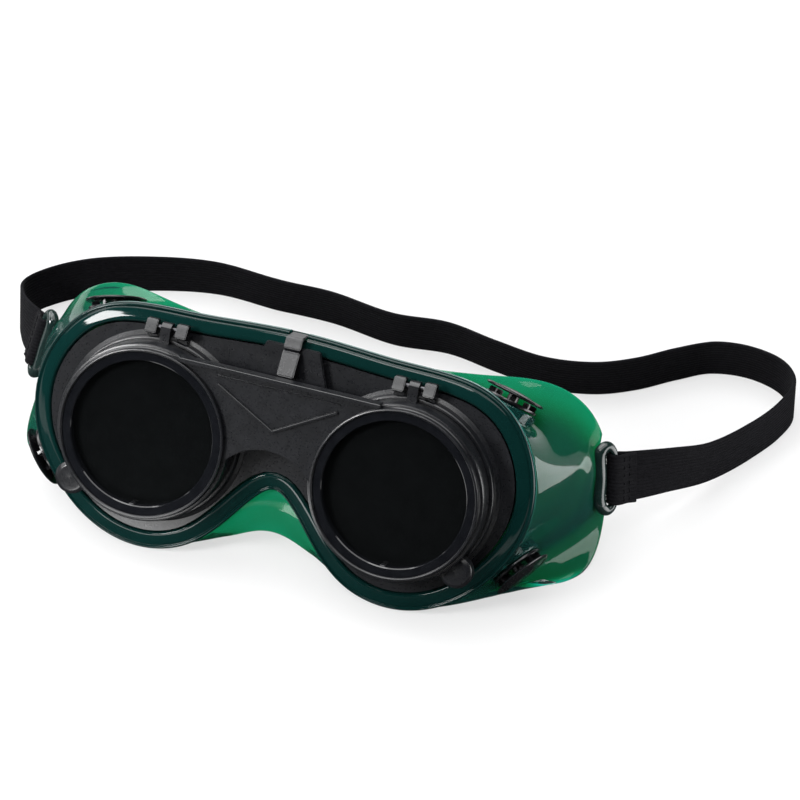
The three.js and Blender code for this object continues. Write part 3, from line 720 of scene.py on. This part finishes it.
def make_front_frame():
    shape = Shape()
    outline = [(p[0], p[2]) for p in rim_station(-6.2, 0)[::2]]
    holes = [circle(side * LENS_X, 0, 27) for side in (-1, 1)]
    shape.add(prism(outline, PLATE_FRONT, PLATE_BACK, holes), 0.35, 2)
    socket = fillet([
        (24.6, COLLAR_Y), (29.6, COLLAR_Y), (30, COLLAR_Y + 0.4), (30, 12.4), (31.4, 12.9),
        (31.4, PLATE_BACK), (28, PLATE_BACK), (28, 18.4), (33, 18.4), (33, 19), (29, 20.4),
        (28, 21.5), (POCKET_R, 21.5), (POCKET_R, 15), (SIGHT_R, 15), (SIGHT_R, PLATE_FRONT),
    ], 0.35, 2)
    for side in (-1, 1):
        ring_at(shape, side, socket)
        for end in (-1, 1):
            hinge_lug(shape, side * HINGE_X + end * (HINGE_SPREAD - LUG_WIDTH) / 2)
    under = NOTCH_BOTTOM + 0.3
    post = [
        (13.4, 27.6), (6, 27.6), (5.6, 28), (8.9, 35.2), (9.8, 35.6), (8.8, 36.4), (10, under + 0.8),
        (10.6, under + 1.4), (17, under + 1.4), (17.5, under + 0.9), (17.5, under),
        (11.4, under), (11.4, 35), (11.8, 33.2), (13.4, 33.2),
    ]
    shape.add(prism(post, -CATCH_WIDTH / 2, CATCH_WIDTH / 2, axis="x"), 0.35, 2)
    shape.add(prism([(-13, 25), (13, 25), (9, 36.8), (-9, 36.8)], 10.4, 11.9), 0.3, 2)
    shape.add(prism([(-12, 25.4), (12, 25.4), (10.4, 33), (-10.4, 33)], 11.5, 13.5))
    obj = shape.object("front_frame_body")
    return finish_piece(obj, NYLON, "black_nylon", "facepiece_body", "front_frame")


def bar(shape, start, end, width, front, back, bevel=0.4):
    """A straight raised rib between two points of the front view."""
    a, b = Vector(start), Vector(end)
    side = (b - a).orthogonal().normalized() * width / 2
    shape.add(prism([a - side, b - side, b + side, a + side], front, back), bevel, 3)


def web_outline():
    reach, start, end, apex = 26.6, 100, 194, 4
    corner_x = LENS_X + reach * math.cos(math.radians(end))
    corner_z = reach * math.sin(math.radians(end))
    rise = apex - corner_z
    arch = (corner_x**2 + rise**2) / (2 * rise)
    sweep = math.degrees(math.asin(corner_x / arch))
    right = arc(LENS_X, 0, reach, start, end, 30)
    nose = arc(0, apex - arch, arch, 90 - sweep, 90 + sweep, 26)
    left = arc(-LENS_X, 0, reach, 180 - end, 180 - start, 30)
    top_x = LENS_X + reach * math.cos(math.radians(start))
    return [(-top_x, 27.6), (top_x, 27.6), *right, *nose[1:-1], *left]


def make_flip_frame():
    shape = Shape()
    ring = [
        (FLAT_R, 3.7), (FLAT_R, 0.55), (26.85, 0.2), (27.1, 0), (27.4, 0), (27.65, 0.15),
        (27.75, 0.5), (27.75, 1.75), (28, 2), (28.45, 2.05), (28.8, 2.2), (29, 2.6), (29, 8.3),
        (28.8, 8.8), (28.4, 9), (POCKET_R, 9), (POCKET_R, 3.7),
    ]
    shape.add(prism(web_outline(), 1.6, 4.2), 0.35, 3)
    bar(shape, (-34, 27), (34, 27), 1.7, 0, 4.2)
    bar(shape, (-21, 24.4), (21, 24.4), 0.7, 1.2, 3)
    for side in (-1, 1):
        ring_at(shape, side, ring)
        bar(shape, (side * 20.4, 21.8), (side * -0.4, 10.3), 1.3, 0.8, 2.6)
        key = prism([(-0.9, -25.6), (0.9, -25.6), (0.9, -23.5), (-0.9, -23.5)], 1.4, 3.9)
        shape.add(key, 0.15, 1, Matrix.Translation((side * LENS_X, 0, 0)))
        front = HINGE_Y - ARM_FRONT
        arm = [
            (front, 26.6), (FLIP_DEPTH, 26.6), (FLIP_DEPTH, 30.2), (HINGE_Y + ARM_R, 31.6),
            *arc(HINGE_Y, HINGE_Z, ARM_R, 0, 140, 14), (front, 34.2),
        ]
        bore = circle(HINGE_Y, HINGE_Z, BORE_R, 20)
        x = side * HINGE_X
        shape.add(prism(arm, x - ARM_WIDTH / 2, x + ARM_WIDTH / 2, [bore], "x"), 0.25, 2)
        angle = math.radians(TAB_ANGLE)
        tab = fillet([(0, 4.5), (4.2, 4.5), (5.4, 5.4), (5.4, 8.6), (0, 8.6)], 0.4)
        tab = [(max(r, 0), y) for r, y in tab]
        across, up = TAB_REACH * math.cos(angle), TAB_REACH * math.sin(angle)
        spot = (side * (LENS_X + across), 0, up)
        shape.add(lathe(tab, 56), matrix=Matrix.Translation(spot))
    obj = shape.object("flip_frame_body")
    return finish_piece(obj, NYLON, "black_nylon", "flip_front", "flip_frame")


def make_bezels():
    """The polished flat in front of each shade lens, inside the raised edge of its ring."""
    shape = Shape()
    flat = [
        (SIGHT_R, 3.7), (SIGHT_R, 1.1), (SIGHT_R + 0.3, 0.75), (FLAT_R - 0.1, 0.75),
        (FLAT_R, 0.85), (FLAT_R, 3.7),
    ]
    for _, sign in SIDES:
        ring_at(shape, sign, flat)
    obj = shape.object("lens_bezels")
    return finish_piece(obj, POLISHED, "black_nylon", "flip_front")


def make_lens_stacks():
    """Lens, gasket and retaining ring behind both sights, in the flip frame and the fixed one."""
    stacks = (
        ("filter", SHADE, "shade_glass", 4, 6.8, 8.9, "flip_front"),
        ("cover", CLEAR, "clear_glass", 15.3, 17.3, 20.4, "facepiece_body"),
    )
    for kind, look, slot, front, back, ring_back, body in stacks:
        seal = back + 0.3
        ring_front = seal + 0.8
        for side, sign in SIDES:

            def build(what, profile, material, slot_name, rides, warp=None):
                shape = Shape()
                ring_at(shape, sign, profile, 128, warp)
                obj = shape.object(f"{kind}_{what}_{side}_body")
                finish_piece(obj, material, slot_name, rides, f"{kind}_{what}_{side}")

            def slots(r, y, angle):
                cut = abs(math.cos(angle)) < 0.066 and y > ring_front + 0.2
                return (r, y - 0.8) if cut else (r, y)

            lens = [
                (0, front), (LENS_R - 0.3, front), (LENS_R, front + 0.3),
                (LENS_R, back - 0.3), (LENS_R - 0.3, back), (0, back),
            ]
            gasket = fillet([
                (22.8, seal), (LENS_R, seal), (LENS_R, seal + 0.5), (22.8, seal + 0.5)
            ], 0.15, 2)
            ring = fillet([
                (22.6, ring_front), (25.1, ring_front), (25.1, ring_back), (22.6, ring_back)
            ], 0.2, 2)
            build("lens", lens, look, slot, body)
            build("gasket", gasket, RUBBER, "gasket_rubber", body)
            build("ring", ring, NYLON, "black_nylon", f"{kind}_retainer_{side}", slots)


def make_vents():
    seat = BOSS_HEIGHT + 0.3
    under = seat + 2.9
    posts = 8
    base = fillet([
        (2.4, -4.4), (4.3, -4.4), (4.7, -3.8), (3.6, -2.6), (3.6, seat), (9, seat),
        (9, seat + 1), (2.4, seat + 1),
    ], 0.25, 2)
    cap = [
        (0, -2), (1.9, -2), (1.9, under), (9.5, under), (9.85, under + 0.15), (10, under + 0.45),
        (9.85, under + 0.75), (9.4, under + 0.95), (8.2, under + 1.05), (7.7, under + 0.85),
        (7.3, under + 1.0), (4, under + 1.5), (0, under + 1.7),
    ]
    for name, place in vent_places():
        shape = Shape().add(lathe(base, 72), matrix=place)
        for k in range(posts):
            turn = Matrix.Rotation(math.radians((k + 0.5) * 360 / posts), 4, "Y")
            post = prism([(5.6, -0.5), (8.2, -0.5), (8.2, 0.5), (5.6, 0.5)], seat + 0.5, seat + 2.6)
            shape.add(post, 0.2, 2, place @ turn)
        obj = shape.object(f"vent_base_{name}_body")
        finish_piece(obj, VENT_BLACK, "vent_plastic", "facepiece_body", f"vent_base_{name}")
        obj = Shape().add(lathe(cap, 96), matrix=place).object(f"vent_cap_{name}_body", sharp=50)
        finish_piece(obj, VENT_BLACK, "vent_plastic", "facepiece_body", f"vent_cap_{name}")


# ---------- the strap ----------
# Route on the table from the right loop round the back to the left loop: x, y, height of the
# lower edge above the table, and how far the top leans in y.
STRAP_ROUTE = [
    (113.2, 66.8, 8.2, 0.25), (122.4, 83, 1.6, 0.06), (131.2, 98, 0.2, 0), (137.8, 112, 0.2, 0),
    (139.4, 123, 0.2, 0), (133.6, 132.4, 0.2, -0.08), (121.6, 137, 0.2, -0.14),
    (108.6, 135.6, 0.2, -0.16), (97.8, 128.4, 0.2, -0.16), (86.6, 119.2, 0.2, -0.16),
    (74.4, 112.6, 0.2, -0.16), (58, 109.6, 0.2, -0.16), (40, 112, 0.2, -0.16),
    (22, 115.4, 0.2, -0.16), (3, 113.6, 0.2, -0.16), (-20, 117, 0.2, -0.16),
    (-40, 117, 0.2, -0.16), (-62, 118, 0.2, -0.14), (-83, 112.8, 0.2, -0.1), (-103, 103, 0.2, 0),
    (-114.6, 92.8, 0.4, 0.04), (-118.6, 81.6, 2.6, 0.1), (-112.6, 66, 8.4, 0.25),
]
TO_TABLE = np.array(Matrix.Rotation(-LEAN, 3, "X"))  # from the goggles' frame


def fold_frames(side):
    """The strap's turn round one rear bar, from its sewn end to the start of the long run."""
    along, outwards = Vector((0.518, 0.855)), Vector((0.855, -0.518))
    turn_r = LOOP_BAR + 0.1 + STRAP_T / 2
    lay = STRAP_T / 2 + 0.25
    spots = [(9.4, lay), (5.6, lay), (2.4, turn_r - 0.2)]
    for i in range(5):
        angle = i * math.pi / 4
        spots.append((-turn_r * math.sin(angle), turn_r * math.cos(angle)))
    spots += [(2.4, 0.2 - turn_r), (6, -lay)]
    across = np.array((side * LOOP_TILT, 0, 1.0))
    across /= np.linalg.norm(across)
    frames = []
    for a, b in spots:
        spot = LOOP_REAR + along * a + outwards * b
        frames.append((TO_TABLE @ np.array((side * spot.x, spot.y, LOOP_Z)), TO_TABLE @ across))
    return frames


def strap_knots():
    route = []
    for x, y, height, lean in STRAP_ROUTE:
        across = np.array((0, lean, 1.0))
        across /= np.linalg.norm(across)
        foot = np.array((x, y, TABLE_Z + height))
        route.append((foot + across * STRAP_W / 2, across))
    return [*fold_frames(1), *route, *reversed(fold_frames(-1))]


def strap_frames(step=1.1):
    """Evenly spaced frames of the whole strap: centre, width direction and outward direction."""
    knots = strap_knots()
    centres, acrosses = [k[0] for k in knots], [k[1] for k in knots]
    fine = np.linspace(0, 1, 4000)
    path = np.array([centripetal(centres, t, False) for t in fine])
    lengths = np.concatenate([[0], np.cumsum(np.linalg.norm(np.diff(path, axis=0), axis=1))])
    count = int(lengths[-1] / step)
    places = np.interp(np.linspace(0, lengths[-1], count), lengths, fine)
    centre = np.array([centripetal(centres, t, False) for t in places])
    across = np.array([centripetal(acrosses, t, False) for t in places])
    across /= np.linalg.norm(across, axis=1)[:, None]
    run = np.gradient(centre, axis=0)
    out = np.cross(run, across)
    out /= np.linalg.norm(out, axis=1)[:, None]
    return centre, across, out, lengths[-1]


def band_section():
    """Half thickness across the width: fourteen ribs between two firm edges."""
    ribs, per = 14, 5
    core, rib_height = 0.38, 0.2
    spots = []
    for i in range(ribs * per + 1):
        s = i / (ribs * per)
        wave = abs(math.sin(math.pi * ribs * s))
        edge = min(s, 1 - s) * STRAP_W
        round_off = math.sqrt(min(edge / 0.5, 1)) if edge < 0.5 else 1
        half = (core + rib_height * wave**0.7) * (0.35 + 0.65 * round_off)
        spots.append(((s - 0.5) * STRAP_W, half))
    return spots


def make_strap(facepiece, loops):
    centre, across, out, length = strap_frames()
    section = band_section()
    loop = [(s, h) for s, h in section] + [(s, -h) for s, h in reversed(section)]
    size = len(loop)
    verts = []
    for c, a, o in zip(centre, across, out):
        verts += [tuple(c + a * s + o * h) for s, h in loop]
    faces = []
    for i in range(len(centre) - 1):
        for k in range(size):
            n = (k + 1) % size
            a, b = i * size, (i + 1) * size
            faces.append((a + k, a + n, b + n, b + k))
    half = size // 2
    last = (len(centre) - 1) * size
    for start in (0, last):
        for k in range(half - 1):
            faces.append((start + k, start + k + 1, start + size - 2 - k, start + size - 1 - k))
    obj = Shape().add((verts, faces)).object("strap_band", TABLE, 60)
    finish_piece(obj, WEBBING, "elastic_webbing", "facepiece_body", "strap")
    stitches = make_stitches(centre, across, out)


def make_stitches(centre, across, out):
    """Two rows of thread across each folded end, on both faces of the strap."""
    count, pitch = 6, 2.64
    half, sunk, proud = 0.75, 0.42, 0.72
    shape = Shape()
    for index in (3, 6, -4, -7):
        c, a, o = centre[index], across[index], out[index]
        for k in range(count):
            s = -6.6 + k * pitch
            for face in (1, -1):
                thread = [(s - half, sunk), (s, proud), (s + half, sunk)]
                spots = [Vector(c + a * at + o * (face * height)) for at, height in thread]
                shape.add(tube(spots, [0.16, 0.2, 0.16], 8, False))
    obj = shape.object("strap_stitches", TABLE, 60)
    return finish_piece(obj, WEBBING, "elastic_webbing", "facepiece_body")


# ---------- stage ----------
CAMERA_PLACE = Vector((0.4063, -1.0204, 1.0227))  # metres from the goggles' origin
CAMERA_AZIMUTH, CAMERA_ELEVATION = 19.5, 42.2
CAMERA_LENS = 214.3
FLOOR_HALF = 6  # metres
FLAG_LEFT, FLAG_RIGHT, FLAG_NEAR, FLAG_FAR = -0.2, 0.3, -0.2, 0.16  # from the goggles' origin
FLAG_HEIGHT = 0.6  # millimetres above the table


def place_camera():
    data = bpy.data.cameras.new("camera")
    data.sensor_width = 36
    data.lens = CAMERA_LENS
    data.clip_end = 20
    camera = bpy.data.objects.new("camera", data)
    camera.location = ORIGIN + CAMERA_PLACE
    camera.rotation_euler = (math.radians(90 - CAMERA_ELEVATION), 0, math.radians(CAMERA_AZIMUTH))
    scene.collection.objects.link(camera)
    scene.camera = camera


def add_panel(name, place, size, power, aim=(0, 0, 0)):
    """A softbox at a place relative to the goggles' origin, aimed at a point near it."""
    data = bpy.data.lights.new(name, "AREA")
    data.shape = "RECTANGLE"
    data.size, data.size_y = size
    data.energy = power
    light = bpy.data.objects.new(name, data)
    light.location = ORIGIN + Vector(place)
    towards = Vector(aim) - Vector(place)
    light.rotation_euler = towards.to_track_quat("-Z", "Y").to_euler()
    light.visible_camera = False
    scene.collection.objects.link(light)


def flat_card(name, corners):
    """A single face through four corners, in metres."""
    mesh = bpy.data.meshes.new(name)
    mesh.from_pydata(corners, [], [(0, 1, 2, 3)])
    card = bpy.data.objects.new(name, mesh)
    scene.collection.objects.link(card)
    return card


def add_floor():
    half = FLOOR_HALF
    floor = flat_card("floor", [(-half, -half, 0), (half, -half, 0), (half, half, 0), (-half, half, 0)])
    material, tree, shader = new_material("floor_white")
    tone = spread(tree, noise(tree, 3), 0, 1)
    colour = blend_colours(tree, tone, (0.2, 0.2, 0.202), (0.22, 0.22, 0.22))
    tree.links.new(colour, shader.inputs["Base Color"])
    shader.inputs["Roughness"].default_value = 0.7
    shader.inputs["Specular IOR Level"].default_value = 0.2
    shader.inputs["Emission Color"].default_value = (1, 1, 1, 1)
    shader.inputs["Emission Strength"].default_value = 0.63
    floor.data.materials.append(material)
    floor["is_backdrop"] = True


def add_flag():
    """A black card just above the floor, under the goggles and beyond them on every side, seen only
    in the gloss."""
    corners = [
        (FLAG_LEFT, FLAG_NEAR), (FLAG_RIGHT, FLAG_NEAR), (FLAG_RIGHT, FLAG_FAR), (FLAG_LEFT, FLAG_FAR),
    ]
    height = (TABLE_Z + FLAG_HEIGHT) / 1000
    flag = flat_card("flag", [tuple(ORIGIN + Vector((x, y, height))) for x, y in corners])
    material, tree, shader = new_material("flag_black")
    tree.links.new(spread(tree, noise(tree, 3), 0.85, 0.95), shader.inputs["Roughness"])
    shader.inputs["Base Color"].default_value = (0.005, 0.005, 0.005, 1)
    flag.data.materials.append(material)
    for kind in ("camera", "diffuse", "transmission", "shadow", "volume_scatter"):
        setattr(flag, f"visible_{kind}", False)
    flag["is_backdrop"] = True


def set_world():
    """Bright overhead, dim towards the horizon."""
    world = bpy.data.worlds.new("studio")
    world.use_nodes = True
    tree = world.node_tree
    place = tree.nodes.new("ShaderNodeTexCoord")
    split = tree.nodes.new("ShaderNodeSeparateXYZ")
    fade = tree.nodes.new("ShaderNodeMapRange")
    fade.inputs["From Min"].default_value = 0.25
    fade.inputs["From Max"].default_value = 0.9
    fade.inputs["To Min"].default_value = 0.03
    fade.inputs["To Max"].default_value = 0.5
    tree.links.new(place.outputs["Generated"], split.inputs["Vector"])
    tree.links.new(split.outputs["Z"], fade.inputs["Value"])
    tree.links.new(fade.outputs["Result"], tree.nodes["Background"].inputs["Strength"])
    scene.world = world


place_camera()
add_floor()
add_flag()
set_world()
add_panel("key", (-0.7, 0.5, 1.2), (1.5, 1.5), 27)
add_panel("overhead", (0.2, 0.2, 1.7), (1.8, 1.8), 30)
add_panel("left", (-1.0, 0.05, 0.6), (0.8, 0.6), 5)
add_panel("front_left", (-0.64, -0.64, 0.62), (0.34, 0.26), 12)
add_panel("front_top", (-0.23, -0.66, 1.37), (0.5, 0.3), 5)
add_panel("low_left", (-0.055, -0.075, -0.03), (0.06, 0.02), 0.035, aim=(0.015, 0, -0.03))
add_panel("low_right", (0.2, 0.05, -0.034), (0.15, 0.11), 0.28, aim=(0.085, 0.03, 0))
scene.view_settings.view_transform = "Standard"

facepiece = make_facepiece()
loops = make_strap_loops()
make_front_frame()
make_flip_frame()
make_bezels()
make_lens_stacks()
make_vents()
make_strap(facepiece, loops)
for side, _ in SIDES:
    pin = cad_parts[f"hinge_pin_{side}"]
    pin.data.materials.clear()
    pin.data.materials.append(STEEL)

boxes = {"cad": cad_box, "visual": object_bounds()}
{k: [[float(c) for c in corner] for corner in v] for k, v in boxes.items()}
